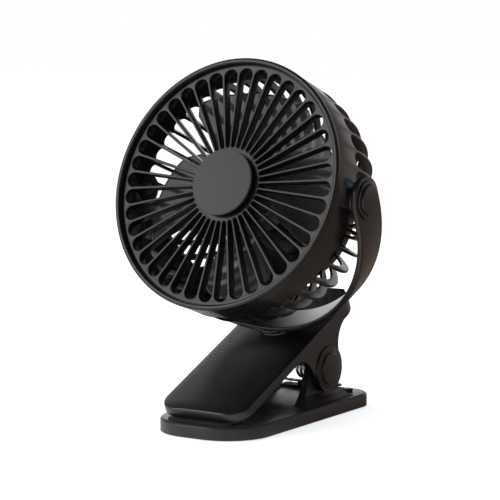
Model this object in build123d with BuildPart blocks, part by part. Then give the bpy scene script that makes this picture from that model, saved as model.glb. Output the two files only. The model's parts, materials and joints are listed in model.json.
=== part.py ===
from build123d import *
import math
import os

# Clip fan: a round fan head tilts in a forked yoke, the yoke swivels on a sloping
# clip arm, and the arm is hinged on a flat base by two pins and a double torsion
# spring. Millimetres, +Z up. The origin is the middle of the base on the ground,
# and the fan faces -Y.

os.makedirs("parts", exist_ok=True)

# ---------------------------------------------------------------- driving sizes
# Base plate
base_width = 69.4
base_length = 153.0
base_top = 8.3
base_front_radius = 27.6
base_rear_radius = 17.4
base_edge = 1.1
base_wall = 2.4
base_roof = 2.0
foot_height = 0.5
foot_radius = 4.5
foot_inset = 4.0
cover_plate = 1.3
cover_gap = 0.2

# Clip hinge, with its ears on the base
hinge_y = 26.7
hinge_z = 28.5
ear_outer_x = 25.2
ear_thickness = 4.6
ear_top_radius = 10.8
ear_front_foot = 26.5
ear_front_knee = (-16.9, -5.2)
ear_rear_knee = (17.2, -11.8)
ear_rear_foot = 28.0
ear_flare = 5.8
pin_radius = 2.5
pin_head_radius = 4.2
pin_head_height = 1.2
running_gap = 0.05
side_gap = 0.4

# Clip arm
arm_slope = 23.55
hinge_depth = 27.2
arm_half_width = 29.5
arm_front = 94.9
arm_tail = 51.0
arm_skirt = 6.3
tail_depth = 9.0
arm_front_radius = 14.0
arm_tail_radius = 20.0
arm_wall = 2.4
cheek_radius = 14.1
cheek_boss_height = 0.8
hinge_cap_radius = 9.6
hinge_cap_height = 1.1
cap_ring_radius = 6.0
cap_ring_wall = 1.2
arm_cover_plate = 1.4
arm_cover_rear = 31.0

# Jaw pads
pad_half_width = 21.0
pad_radius = 4.0
lower_pad_front = 4.5
lower_pad_length = 20.0
lower_pad_height = 1.1
upper_pad_front = 3.4
upper_pad_length = 14.0
upper_pad_height = 1.3

# Torsion spring and its seat
wire_diameter = 1.8
coil_radius = 6.4
coil_pitch = 2.6
coil_extra_turns = 3
coil_side_gap = 0.6
seat_gap = 1.2
spring_bar_z = 12.4
spring_bend = 3.2
spring_tip_along = 17.0
spring_tip_gap = 0.3
seat_half_length = 24.0
seat_half_width = 4.6
seat_height = 1.7
saddle_half_gap = 8.5
saddle_width = 5.0

# Swivel
swivel_rise = 1.5
swivel_disc_radius = 12.0
swivel_washer = 0.4
swivel_disc = 2.6
post_radius = 5.0
retainer_radius = 8.5
retainer_height = 1.4
swivel_screw_radius = 1.5
swivel_screw_head = 2.8

# Yoke and the tilt pivots at its ends
yoke_side_gap = 3.4
yoke_thickness = 3.5
yoke_drop = 6.5
yoke_end_radius = 13.5
yoke_foot_half_width = 10.5
yoke_edge = 1.2
tilt_shaft_radius = 3.2
tilt_head_radius = 5.6
tilt_head_height = 1.4
tilt_washer = 0.9
yoke_cap_radius = 11.0
yoke_cap_step = 1.1
yoke_cap_face_radius = 8.8
yoke_cap_face = 1.4

# Fan head along its own axis: zero at the tilt axis, positive to the front
head_tilt = 19.0
rim_radius = 75.0
rim_front = 25.2
rim_lip = 2.9
grille_face = 21.8
grille_depth = 6.0
rim_seam = 0.3
skirt_wall = 1.8
skirt_depth = 7.5
skirt_gap = 0.2
band_step = 0.4
band_wall = 2.0
band_back = 3.0
dome_start = 5.5
dome_depth = 64.5
rear_disc_radius = 40.0
rear_rib_depth = 5.5
rear_disc_wall = 3.0
slot_count = 40
front_slot_inner = 22.0
front_slot_margin = 5.5
front_rib_outer = 1.6
front_rib_inner = 1.1
grille_hub_inner = 20.0
grille_plate = 2.4
rear_rib_outer = 2.0
rear_rib_inner = 1.5
side_boss_radius = 9.0
cap_base_radius = 19.4
cap_face_radius = 18.6
cap_height = 4.9
cap_wall = 1.5
plug_radius = 15.0

# Motor and rotor
motor_radius = 13.0
motor_back = -16.5
motor_front = -2.5
motor_neck_radius = 3.5
motor_neck = 1.4
motor_seat_wall = 2.0
motor_seat_height = 6.0
motor_ledge = 1.5
shaft_radius = 1.0
shaft_back = -15.5
shaft_front = 5.1
rotor_radius = 22.5
rotor_wall = 1.4
rotor_front = 2.5
rotor_back = -13.0
rotor_boss_radius = 3.0
rotor_boss = 1.6
blade_count = 4
blade_tip_gap = 12.6
blade_thickness = 1.5
blade_front_angle = 37.0
blade_rear_angle = 27.0
blade_root_pitch = 35.0
blade_tip_pitch = 19.5
blade_middle = -4.5
blade_corner = 8.0
blade_start = 2.0
nut_radius = 4.0
nut_height = 1.6

# Controls in the rear hub, battery and charging parts in the base
rear_hub_radius = 23.0
rear_hub_rise = 0.8
rear_hub_depth = 8.0
rear_hub_wall = 2.2
partition = 2.0
rear_cap_height = 1.6
rear_cap_ledge = 1.4
button_radius = 5.5
button_rise = 0.9
button_travel = 0.8
button_flange = 1.0
button_flange_height = 0.8
button_gap = 0.15
board_radius = 17.0
board_height = 1.2
standoff_radius = 12.0
standoff_wall = 2.0
standoff_height = 1.4
switch_size = 5.0
cell_width = 42.0
cell_length = 60.0
cell_height = 3.6
port_width = 9.0
port_height = 3.0
port_depth = 7.3
port_wall = 0.4
port_setback = 0.3
charge_board_width = 22.0
charge_board_length = 18.0
charge_board_height = 0.8

# Small screws
screw_radius = 1.1
screw_head_radius = 2.2
screw_head_height = 0.6
screw_length = 2.8
boss_wall = 1.5

# ------------------------------------------------- sizes that follow from the others
band_radius = rim_radius - band_step
front_slot_outer = rim_radius - front_slot_margin
blade_radius = band_radius - blade_tip_gap
yoke_radius = band_radius + yoke_side_gap + yoke_thickness
pivot_height = yoke_radius + yoke_drop + swivel_rise
spring_bar_y = hinge_y + ear_rear_foot + seat_gap + seat_half_width

# --------------------------------------------------------------- places in space
slope_sin = math.sin(math.radians(arm_slope))
slope_cos = math.cos(math.radians(arm_slope))
seat_y = hinge_y - hinge_depth * slope_sin
seat_z = hinge_z + hinge_depth * slope_cos
pivot_y = seat_y - pivot_height * slope_sin
pivot_z = seat_z + pivot_height * slope_cos
up_slope = (0, -slope_sin, slope_cos)
along_slope = (0, slope_cos, slope_sin)
head_sin = math.sin(math.radians(head_tilt))
head_cos = math.cos(math.radians(head_tilt))

# arm seen from above: X across, Y back along the slope, Z square to the arm's top
arm = Plane(origin=(0, seat_y, seat_z), x_dir=(1, 0, 0), z_dir=up_slope)
# arm seen from its side: X back along the slope, Y square to the arm's top
arm_side = Plane(origin=(0, seat_y, seat_z), x_dir=along_slope, z_dir=(1, 0, 0))
# yoke seen from its front and from its side
yoke = Plane(origin=(0, pivot_y, pivot_z), x_dir=(1, 0, 0), z_dir=(0, -slope_cos, -slope_sin))
yoke_side = Plane(origin=(0, pivot_y, pivot_z), x_dir=along_slope, z_dir=(1, 0, 0))
# head seen from its front, and cut through its axis with X outward and Y to the front
head = Plane(origin=(0, pivot_y, pivot_z), x_dir=(1, 0, 0), z_dir=(0, -head_cos, head_sin))
head_cut = Plane(origin=head.origin, x_dir=head.x_dir, z_dir=head.y_dir * -1)
head_axis = Axis(head.origin, head.z_dir)


def hinge_plane(x):
    """Side view at x, centred on the clip hinge, X to the back and Y up."""
    return Plane(origin=(x, hinge_y, hinge_z), x_dir=(0, 1, 0), z_dir=(1, 0, 0))


def pivot_plane(x):
    """Side view at x, centred on the tilt pivot, X to the back and Y up."""
    return Plane(origin=(x, pivot_y, pivot_z), x_dir=(0, 1, 0), z_dir=(1, 0, 0))


def save(part, name):
    """Label a finished piece and write its STEP file."""
    part.label = name
    export_step(part, f"parts/{name}.step")


# ----------------------------------------------------------------- base: housing
half_width = base_width / 2
half_length = base_length / 2
base_under = foot_height
cavity_top = base_top - base_roof
cover_top = base_under + cover_plate
ear_inner_x = ear_outer_x - ear_thickness
cover_screw_x = half_width - base_wall - boss_wall - 3 * screw_radius - foot_inset
cover_screw_points = [
    (-cover_screw_x, base_front_radius - half_length + 10),
    (cover_screw_x, base_front_radius - half_length + 10),
    (-cover_screw_x, half_length - base_rear_radius - 10),
    (cover_screw_x, half_length - base_rear_radius - 10),
]

with BuildSketch() as base_plan:
    Rectangle(base_width, base_length)
    fillet(base_plan.vertices().group_by(Axis.Y)[0], radius=base_front_radius)
    fillet(base_plan.vertices().group_by(Axis.Y)[-1], radius=base_rear_radius)

# an ear: upright beside the hinge, with a foot that flares outward
with BuildPart() as ear:
    with BuildSketch(Plane(origin=(0, hinge_y, 0), x_dir=(1, 0, 0), z_dir=(0, -1, 0))):
        with BuildLine():
            Polyline(
                (ear_inner_x, cavity_top),
                (ear_inner_x, hinge_z + ear_top_radius),
                (ear_outer_x, hinge_z + ear_top_radius),
                (ear_outer_x, base_top + ear_flare),
                (ear_outer_x + ear_flare, base_top),
                (ear_outer_x + ear_flare, cavity_top),
                close=True,
            )
        make_face()
    extrude(amount=ear_front_foot + ear_rear_foot, both=True)
    ground = cavity_top - hinge_z
    deck = base_top - hinge_z
    knee_x, knee_y = ear_front_knee
    knee_reach = math.hypot(knee_x, knee_y)
    knee_angle = 360 + math.degrees(math.atan2(knee_y, knee_x))
    front_angle = knee_angle - math.degrees(math.acos(ear_top_radius / knee_reach))
    front_touch = (
        ear_top_radius * math.cos(math.radians(front_angle)),
        ear_top_radius * math.sin(math.radians(front_angle)),
    )
    front_middle = ((knee_x - ear_front_foot) / 2 + 1.5, (knee_y + deck) / 2 - 0.9)
    rear_middle = (
        (ear_rear_knee[0] + ear_rear_foot) / 2 - 0.9,
        (ear_rear_knee[1] + deck) / 2 - 1.1,
    )
    with BuildSketch(hinge_plane(0)):
        with BuildLine():
            Line((-ear_front_foot, ground), (-ear_front_foot, deck))
            ThreePointArc((-ear_front_foot, deck), front_middle, ear_front_knee)
            Line(ear_front_knee, front_touch)
            ThreePointArc(front_touch, (0, ear_top_radius), (ear_top_radius, 0))
            Line((ear_top_radius, 0), (ear_top_radius, ear_rear_knee[1] + 3))
            Line((ear_top_radius, ear_rear_knee[1] + 3), ear_rear_knee)
            ThreePointArc(ear_rear_knee, rear_middle, (ear_rear_foot, deck))
            Line((ear_rear_foot, deck), (ear_rear_foot, ground))
            Line((ear_rear_foot, ground), (-ear_front_foot, ground))
        make_face()
    extrude(amount=base_width, mode=Mode.INTERSECT)

with BuildPart() as base_plate:
    with BuildSketch(Plane.XY.offset(base_under)):
        add(base_plan.sketch)
    extrude(amount=base_top - base_under)
    chamfer(base_plate.faces().sort_by(Axis.Z)[-1].edges(), length=base_edge)
    with BuildSketch(Plane.XY.offset(base_under)):
        offset(base_plan.sketch, amount=-base_wall)
    extrude(amount=cavity_top - base_under, mode=Mode.SUBTRACT)
    add(ear.part)
    mirror(ear.part, about=Plane.YZ)
    with BuildSketch(Plane.XY.offset(cover_top)):
        with Locations(*cover_screw_points):
            Circle(screw_radius + boss_wall)
    extrude(amount=cavity_top - cover_top)
    with BuildSketch(Plane.XY.offset(cover_top)):
        with Locations(*cover_screw_points):
            Circle(screw_radius)
    extrude(amount=screw_length, mode=Mode.SUBTRACT)
    with BuildSketch(hinge_plane(-half_width)):
        Circle(pin_radius)
    extrude(amount=base_width, mode=Mode.SUBTRACT)
    with BuildSketch(Plane.XZ.offset(-half_length)):
        with Locations((0, cover_top + charge_board_height + port_height / 2)):
            SlotOverall(port_width, port_height)
    extrude(amount=base_wall + port_setback, mode=Mode.SUBTRACT)
save(base_plate.part, "base_plate")

with BuildPart() as bottom_cover:
    with BuildSketch(Plane.XY.offset(base_under)):
        offset(base_plan.sketch, amount=-base_wall - cover_gap)
    extrude(amount=cover_plate)
    with BuildSketch(Plane.XY.offset(base_under)):
        with Locations(*cover_screw_points):
            Circle(screw_head_radius + cover_gap)
    extrude(amount=screw_head_height, mode=Mode.SUBTRACT)
    with BuildSketch(Plane.XY.offset(base_under)):
        with Locations(*cover_screw_points):
            Circle(screw_radius + cover_gap)
    extrude(amount=cover_plate, mode=Mode.SUBTRACT)
save(bottom_cover.part, "bottom_cover")

with BuildPart() as bottom_screws:
    with BuildSketch(Plane.XY.offset(base_under)):
        with Locations(*cover_screw_points):
            Circle(screw_head_radius)
    extrude(amount=screw_head_height)
    with BuildSketch(Plane.XY.offset(base_under)):
        with Locations(*cover_screw_points):
            Circle(screw_radius)
    extrude(amount=cover_plate + screw_length)
save(bottom_screws.part, "bottom_screws")

# rubber feet, inside the corner arcs of the cover
front_foot_reach = (base_front_radius - base_wall - foot_radius - foot_inset) / math.sqrt(2)
rear_foot_reach = (base_rear_radius - base_wall - foot_radius - foot_inset / 2) / math.sqrt(2)
front_foot_x = half_width - base_front_radius + front_foot_reach
front_foot_y = base_front_radius - half_length - front_foot_reach
rear_foot_x = half_width - base_rear_radius + rear_foot_reach
rear_foot_y = half_length - base_rear_radius + rear_foot_reach
with BuildPart() as foot_pads:
    with BuildSketch():
        with Locations(
            (-front_foot_x, front_foot_y), (front_foot_x, front_foot_y),
            (-rear_foot_x, rear_foot_y), (rear_foot_x, rear_foot_y),
        ):
            Circle(foot_radius)
    extrude(amount=foot_height)
save(foot_pads.part, "foot_pads")

with BuildPart() as lower_jaw_pad:
    with BuildSketch(Plane.XY.offset(base_top)):
        with Locations((0, lower_pad_front + lower_pad_length / 2 - half_length)):
            RectangleRounded(2 * pad_half_width, lower_pad_length, pad_radius)
    extrude(amount=lower_pad_height)
save(lower_jaw_pad.part, "lower_jaw_pad")

# ------------------------------------------- base: battery and charging hardware
with BuildPart() as battery_cell:
    with BuildSketch(Plane.XY.offset(cover_top)):
        RectangleRounded(cell_width, cell_length, 2)
    extrude(amount=cell_height)
save(battery_cell.part, "battery_cell")

port_mouth_y = half_length - port_setback
port_middle_z = cover_top + charge_board_height + port_height / 2
with BuildPart() as charge_board:
    with BuildSketch(Plane.XY.offset(cover_top)):
        with Locations((0, half_length - base_wall - cover_gap - charge_board_length / 2)):
            Rectangle(charge_board_width, charge_board_length)
    extrude(amount=charge_board_height)
save(charge_board.part, "charge_board")

with BuildPart() as usb_port:
    with BuildSketch(Plane.XZ.offset(-port_mouth_y)):
        with Locations((0, port_middle_z)):
            SlotOverall(port_width, port_height)
    extrude(amount=port_depth)
    with BuildSketch(Plane.XZ.offset(-port_mouth_y)):
        with Locations((0, port_middle_z)):
            SlotOverall(port_width - 2 * port_wall, port_height - 2 * port_wall)
    extrude(amount=port_depth - port_wall, mode=Mode.SUBTRACT)
    with BuildSketch(Plane.XZ.offset(port_depth - port_wall - port_mouth_y)):
        with Locations((0, port_middle_z)):
            Rectangle(port_width * 0.7, port_height * 0.25)
    extrude(amount=2 * port_wall + port_setback - port_depth)
save(usb_port.part, "usb_port")

# ------------------------------------------------- base: torsion spring, its seat
wire_radius = wire_diameter / 2
seat_top = base_top + seat_height
saddle_top = spring_bar_z + wire_radius / 2
seat_screw_x = seat_half_length - screw_head_radius - 0.6
seat_screw_y = spring_bar_y + seat_half_width - screw_head_radius - 0.4
with BuildPart() as spring_seat:
    with BuildSketch(Plane.XY.offset(base_top)):
        with Locations((0, spring_bar_y)):
            Rectangle(2 * seat_half_length, 2 * seat_half_width)
    extrude(amount=seat_height)
    with BuildSketch(Plane.XY.offset(seat_top)):
        with Locations((-saddle_half_gap, spring_bar_y), (saddle_half_gap, spring_bar_y)):
            Rectangle(saddle_width, 1.6 * seat_half_width)
    extrude(amount=saddle_top - seat_top)
    with BuildSketch(Plane(origin=(0, spring_bar_y, spring_bar_z), x_dir=(0, 1, 0), z_dir=(1, 0, 0))):
        Circle(wire_radius)
        with Locations((0, wire_radius)):
            Rectangle(wire_diameter, wire_diameter)
    extrude(amount=seat_half_length, both=True, mode=Mode.SUBTRACT)
save(spring_seat.part, "spring_seat")

with BuildPart() as seat_screws:
    with BuildSketch(Plane.XY.offset(seat_top)):
        with Locations((-seat_screw_x, seat_screw_y), (seat_screw_x, seat_screw_y)):
            Circle(screw_head_radius)
    extrude(amount=screw_head_height)
save(seat_screws.part, "seat_screws")


def biarc(start, start_dir, end, end_dir):
    """Join two points with two arcs that keep the directions given at both ends."""
    chord = end - start
    turn = 1 - start_dir.dot(end_dir)
    reach = chord.dot(start_dir + end_dir)
    length = (math.sqrt(reach**2 + 2 * turn * chord.dot(chord)) - reach) / (2 * turn)
    first = start + start_dir * length
    second = end - end_dir * length
    middle = (first + second) * 0.5
    TangentArc(start, middle, tangent=start_dir)
    TangentArc(middle, end, tangent=(second - first).normalized())


def coil_point(angle, x):
    """Point of the coil's centre line, with the angle in degrees from the back."""
    turn = math.radians(angle)
    y = hinge_y + coil_radius * math.cos(turn)
    return Vector(x, y, hinge_z + coil_radius * math.sin(turn))


def coil_direction(angle, advance):
    """Direction of the wire there while the angle falls and X grows by advance."""
    turn = math.radians(angle)
    return Vector(advance, coil_radius * math.sin(turn), -coil_radius * math.cos(turn)).normalized()


# the wire runs from the middle of the cross bar to the coil's underside, round the
# coil towards the middle of the fan, and off its top to the roof of the arm's tail
bar_reach = math.hypot(spring_bar_y - hinge_y, spring_bar_z - hinge_z)
bar_angle = math.degrees(math.atan2(spring_bar_z - hinge_z, spring_bar_y - hinge_y))
first_angle = bar_angle - math.degrees(math.acos(coil_radius / bar_reach))
tip = arm.origin + arm.y_dir * spring_tip_along - arm.z_dir * (arm_wall + spring_tip_gap)
knee = tip - arm.z_dir * (2.4 * wire_diameter)
tip_reach = math.hypot(knee.Y - hinge_y, knee.Z - hinge_z)
tip_angle = math.degrees(math.atan2(knee.Z - hinge_z, knee.Y - hinge_y))
last_angle = tip_angle + math.degrees(math.acos(coil_radius / tip_reach))
total_turn = first_angle + 360 - last_angle + 360 * coil_extra_turns
coil_steps = 4 * (coil_extra_turns + 1)
coil_outer_x = ear_inner_x - coil_side_gap - wire_radius
coil_inner_x = coil_outer_x - coil_pitch * total_turn / 360
advance = coil_pitch / (2 * math.pi)

with BuildPart() as torsion_spring:
    with BuildLine() as wire_line:
        FilletPolyline(
            (0, spring_bar_y, spring_bar_z),
            (coil_outer_x, spring_bar_y, spring_bar_z),
            coil_point(first_angle, coil_outer_x),
            radius=spring_bend,
        )
        for step in range(coil_steps):
            share_a = step / coil_steps
            share_b = (step + 1) / coil_steps
            angle_a = first_angle - total_turn * share_a
            angle_b = first_angle - total_turn * share_b
            x_a = coil_outer_x + (coil_inner_x - coil_outer_x) * share_a
            x_b = coil_outer_x + (coil_inner_x - coil_outer_x) * share_b
            advance_a = 0 if step == 0 else -advance
            advance_b = 0 if step == coil_steps - 1 else -advance
            biarc(
                coil_point(angle_a, x_a), coil_direction(angle_a, advance_a),
                coil_point(angle_b, x_b), coil_direction(angle_b, advance_b),
            )
        sideways = Vector(coil_inner_x, 0, 0)
        FilletPolyline(
            coil_point(first_angle - total_turn, coil_inner_x),
            knee + sideways, tip + sideways, radius=spring_bend,
        )
    bar_end = Plane(origin=(0, spring_bar_y, spring_bar_z), x_dir=(0, 1, 0), z_dir=(1, 0, 0))
    with BuildSketch(bar_end):
        Circle(wire_radius)
    sweep(path=wire_line.line)
    mirror(about=Plane.YZ)
save(torsion_spring.part, "torsion_spring")

# least gap between neighbouring turns, measured on points of the centre line
centre_wire = wire_line.wires()[0]
wire_points = [centre_wire @ (i / 600) for i in range(601)]
wire_step = centre_wire.length / 600
near = int(math.pi * coil_radius / wire_step)
least_gap = min(
    (wire_points[i] - wire_points[j]).length - wire_diameter
    for i in range(601) for j in range(i + near, 601)
)
print("torsion spring: least gap to itself", round(least_gap, 2), "mm,",
      len(torsion_spring.solids()), "solid, volume", round(torsion_spring.part.volume, 1),
      "against", round(2 * centre_wire.length * math.pi * wire_radius**2, 1))

# ---------------------------------------------------------------- clip hinge pins
cheek_inner_x = ear_outer_x + side_gap
boss_face_x = arm_half_width + cheek_boss_height
pin_inner_x = coil_inner_x - wire_radius - side_gap
pin_head_x = boss_face_x - hinge_cap_height - pin_head_height
for side, name in ((1, "hinge_pin_right"), (-1, "hinge_pin_left")):
    with BuildPart() as hinge_pin:
        with BuildSketch(hinge_plane(side * pin_inner_x)):
            Circle(pin_radius)
        extrude(amount=side * (pin_head_x - pin_inner_x))
        with BuildSketch(hinge_plane(side * pin_head_x)):
            Circle(pin_head_radius)
        extrude(amount=side * pin_head_height)
    save(hinge_pin.part, name)

# ------------------------------------------------------------------ arm: top shell
# outline of the arm's side view, in the arm's own frame: straight top, skirt, cheek
# round the hinge and the tail that the hand presses
with BuildSketch() as arm_outline:
    with BuildLine():
        Line((-arm_front, 0), (-arm_front, -arm_skirt))
        Line((-arm_front, -arm_skirt), (-2.02 * cheek_radius, -arm_skirt))
        ThreePointArc(
            (-2.02 * cheek_radius, -arm_skirt),
            (-1.67 * cheek_radius, -1.3 * arm_skirt),
            (-1.27 * cheek_radius, -0.58 * hinge_depth),
        )
        Line((-1.27 * cheek_radius, -0.58 * hinge_depth), (-cheek_radius, -hinge_depth))
        ThreePointArc(
            (-cheek_radius, -hinge_depth),
            (0, -hinge_depth - cheek_radius),
            (cheek_radius, -hinge_depth),
        )
        ThreePointArc(
            (cheek_radius, -hinge_depth),
            (1.3 * cheek_radius, -0.53 * hinge_depth),
            (0.54 * arm_tail, -tail_depth),
        )
        Line((0.54 * arm_tail, -tail_depth), (arm_tail - 0.45 * tail_depth, -tail_depth))
        ThreePointArc(
            (arm_tail - 0.45 * tail_depth, -tail_depth),
            (arm_tail, -0.5 * tail_depth),
            (arm_tail - 0.45 * tail_depth, 0),
        )
        Line((arm_tail - 0.45 * tail_depth, 0), (-arm_front, 0))
    make_face()

with BuildSketch() as arm_plan:
    with Locations((0, (arm_tail - arm_front) / 2)):
        Rectangle(2 * arm_half_width, arm_front + arm_tail)
    fillet(arm_plan.vertices().group_by(Axis.Y)[0], radius=arm_front_radius)
    fillet(arm_plan.vertices().group_by(Axis.Y)[-1], radius=arm_tail_radius)

# hollow of the arm: the outline less its wall, open underneath between the cheeks
hollow_front = cheek_inner_x - arm_half_width - arm_front
hollow_reach = hinge_depth + 2 * cheek_radius
with BuildPart() as arm_hollow:
    with BuildSketch(arm_side):
        offset(arm_outline.sketch, amount=-arm_wall)
        with BuildLine():
            Polyline(
                (hollow_front, -arm_wall),
                (cheek_radius - arm_wall, -arm_wall),
                (cheek_radius - arm_wall, -0.86 * hinge_depth),
                (2 * cheek_radius, -0.86 * hinge_depth),
                (2 * cheek_radius, -hollow_reach),
                (hollow_front, -hollow_reach),
                close=True,
            )
        make_face()
    extrude(amount=cheek_inner_x, both=True)
    with BuildSketch(arm):
        offset(arm_plan.sketch, amount=cheek_inner_x - arm_half_width)
    extrude(amount=-hollow_reach, mode=Mode.INTERSECT)

arm_boss_x = cheek_inner_x - boss_wall - 2 * screw_radius
arm_boss_points = [
    (-arm_boss_x, arm_front_radius - arm_front), (arm_boss_x, arm_front_radius - arm_front),
    (-arm_boss_x, -arm_cover_rear - 5), (arm_boss_x, -arm_cover_rear - 5),
]
arm_cover_top = arm_cover_plate - arm_skirt

with BuildPart() as arm_shell:
    with BuildSketch(arm_side):
        add(arm_outline.sketch)
    extrude(amount=arm_half_width, both=True)
    with BuildSketch(arm):
        add(arm_plan.sketch)
    extrude(amount=-hollow_reach, mode=Mode.INTERSECT)
    add(arm_hollow.part, mode=Mode.SUBTRACT)
    with BuildSketch(arm.offset(arm_cover_top)):
        with Locations(*arm_boss_points):
            Circle(screw_radius + boss_wall)
    extrude(amount=-arm_wall - arm_cover_top)
    with BuildSketch(arm.offset(arm_cover_top)):
        with Locations(*arm_boss_points):
            Circle(screw_radius)
    extrude(amount=-arm_wall - arm_cover_top, mode=Mode.SUBTRACT)
    for side in (1, -1):
        with BuildSketch(hinge_plane(side * arm_half_width)):
            Circle(cap_ring_radius)
        extrude(amount=side * (pin_head_x - cover_gap - arm_half_width), mode=Mode.SUBTRACT)
        with BuildSketch(hinge_plane(side * arm_half_width)):
            Circle(cheek_radius)
            Circle(cap_ring_radius, mode=Mode.SUBTRACT)
        extrude(amount=side * cheek_boss_height)
    with BuildSketch(hinge_plane(-boss_face_x)):
        Circle(pin_radius + running_gap)
    extrude(amount=2 * boss_face_x, mode=Mode.SUBTRACT)
    with BuildSketch(arm):
        Circle(post_radius + running_gap)
    extrude(amount=-arm_wall, mode=Mode.SUBTRACT)
save(arm_shell.part, "arm_shell")

for side, name in ((1, "hinge_cap_right"), (-1, "hinge_cap_left")):
    with BuildPart() as hinge_cap:
        with BuildSketch(hinge_plane(side * boss_face_x)):
            Circle(hinge_cap_radius)
        extrude(amount=side * hinge_cap_height)
        chamfer(hinge_cap.faces().sort_by(Axis.X)[-1 if side > 0 else 0].edges(), length=0.4)
        with BuildSketch(hinge_plane(side * boss_face_x)):
            Circle(cap_ring_radius)
            Circle(cap_ring_radius - cap_ring_wall, mode=Mode.SUBTRACT)
        extrude(amount=-side * (hinge_cap_height + pin_head_height / 2))
    save(hinge_cap.part, name)

# ------------------------------------------------------- arm: cover and upper pad
with BuildPart() as arm_cover:
    with BuildSketch(arm.offset(-arm_skirt)):
        offset(arm_plan.sketch, amount=cheek_inner_x - arm_half_width - cover_gap)
        with Locations((0, (arm_tail - arm_cover_rear) / 2)):
            Rectangle(2 * arm_half_width, arm_tail + arm_cover_rear, mode=Mode.SUBTRACT)
    extrude(amount=arm_cover_plate)
    with BuildSketch(arm.offset(-arm_skirt)):
        with Locations(*arm_boss_points):
            Circle(screw_head_radius + cover_gap)
    extrude(amount=screw_head_height, mode=Mode.SUBTRACT)
    with BuildSketch(arm.offset(-arm_skirt)):
        with Locations(*arm_boss_points):
            Circle(screw_radius + cover_gap)
    extrude(amount=arm_cover_plate, mode=Mode.SUBTRACT)
save(arm_cover.part, "arm_cover")

with BuildPart() as arm_screws:
    with BuildSketch(arm.offset(-arm_skirt)):
        with Locations(*arm_boss_points):
            Circle(screw_head_radius)
    extrude(amount=screw_head_height)
    with BuildSketch(arm.offset(-arm_skirt)):
        with Locations(*arm_boss_points):
            Circle(screw_radius)
    extrude(amount=arm_skirt - arm_wall - cover_gap)
save(arm_screws.part, "arm_screws")

with BuildPart() as upper_jaw_pad:
    with BuildSketch(arm.offset(-arm_skirt)):
        with Locations((0, upper_pad_front + upper_pad_length / 2 - arm_front)):
            RectangleRounded(2 * pad_half_width, upper_pad_length, pad_radius)
    extrude(amount=-upper_pad_height)
save(upper_jaw_pad.part, "upper_jaw_pad")

# ------------------------------------------------------------- yoke and swivel
disc_under = swivel_washer + 2 * running_gap
with BuildPart() as yoke_bracket:
    with BuildSketch(yoke):
        inner = yoke_radius - yoke_thickness
        with BuildLine():
            Line((-yoke_radius, yoke_end_radius), (-yoke_radius, -yoke_drop))
            ThreePointArc(
                (-yoke_radius, -yoke_drop), (0, -yoke_drop - yoke_radius), (yoke_radius, -yoke_drop)
            )
            Line((yoke_radius, -yoke_drop), (yoke_radius, yoke_end_radius))
            Line((yoke_radius, yoke_end_radius), (inner, yoke_end_radius))
            Line((inner, yoke_end_radius), (inner, -yoke_drop))
            ThreePointArc((inner, -yoke_drop), (0, -yoke_drop - inner), (-inner, -yoke_drop))
            Line((-inner, -yoke_drop), (-inner, yoke_end_radius))
            Line((-inner, yoke_end_radius), (-yoke_radius, yoke_end_radius))
        make_face()
    extrude(amount=yoke_end_radius, both=True)
    with BuildSketch(yoke_side):
        Circle(yoke_end_radius)
        with Locations((0, -yoke_drop - yoke_radius)):
            Rectangle(2 * yoke_foot_half_width, 1)
        make_hull()
    extrude(amount=2 * yoke_radius, both=True, mode=Mode.INTERSECT)
    with BuildSketch(arm.offset(disc_under)):
        Circle(swivel_disc_radius)
    extrude(amount=swivel_disc)
    with BuildSketch(arm.offset(disc_under)):
        Circle(post_radius)
    extrude(amount=-disc_under - arm_wall - 2 * running_gap)
    with BuildSketch(arm.offset(disc_under + swivel_disc)):
        Circle(swivel_screw_radius)
    extrude(amount=-disc_under - swivel_disc - arm_wall - 2 * running_gap, mode=Mode.SUBTRACT)
    with BuildSketch(pivot_plane(-yoke_radius)):
        Circle(tilt_shaft_radius + running_gap)
    extrude(amount=2 * yoke_radius, mode=Mode.SUBTRACT)
save(yoke_bracket.part, "yoke_bracket")

with BuildPart() as swivel_washer_ring:
    with BuildSketch(arm.offset(running_gap)):
        Circle(swivel_disc_radius - 1)
        Circle(post_radius + 2 * running_gap, mode=Mode.SUBTRACT)
    extrude(amount=swivel_washer)
save(swivel_washer_ring.part, "swivel_washer")

retainer_top = -arm_wall - 2 * running_gap
with BuildPart() as swivel_retainer:
    with BuildSketch(arm.offset(retainer_top)):
        Circle(retainer_radius)
        Circle(swivel_screw_radius, mode=Mode.SUBTRACT)
    extrude(amount=-retainer_height)
save(swivel_retainer.part, "swivel_retainer")

with BuildPart() as swivel_screw:
    with BuildSketch(arm.offset(retainer_top - retainer_height)):
        Circle(swivel_screw_head)
    extrude(amount=-retainer_height)
    with BuildSketch(arm.offset(retainer_top - retainer_height)):
        Circle(swivel_screw_radius)
    extrude(amount=disc_under + swivel_disc - retainer_top + retainer_height)
save(swivel_screw.part, "swivel_screw")

# tilt pivots: a washer and a shaft on each side, and a cap over the shaft's head
yoke_inner_x = yoke_radius - yoke_thickness
boss_end_x = yoke_inner_x - tilt_washer - 2 * running_gap
shaft_end_x = band_radius - rear_rib_depth - 0.8
tilt_head_x = yoke_radius + 2 * running_gap
with BuildPart() as tilt_washers:
    for side in (1, -1):
        with BuildSketch(pivot_plane(side * (boss_end_x + running_gap))):
            Circle(side_boss_radius - 1)
            Circle(tilt_shaft_radius + running_gap, mode=Mode.SUBTRACT)
        extrude(amount=side * tilt_washer)
save(tilt_washers.part, "tilt_washers")

with BuildPart() as tilt_shafts:
    for side in (1, -1):
        with BuildSketch(pivot_plane(side * shaft_end_x)):
            Circle(tilt_shaft_radius)
        extrude(amount=side * (tilt_head_x - shaft_end_x))
        with BuildSketch(pivot_plane(side * tilt_head_x)):
            Circle(tilt_head_radius)
        extrude(amount=side * tilt_head_height)
save(tilt_shafts.part, "tilt_shafts")

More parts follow.
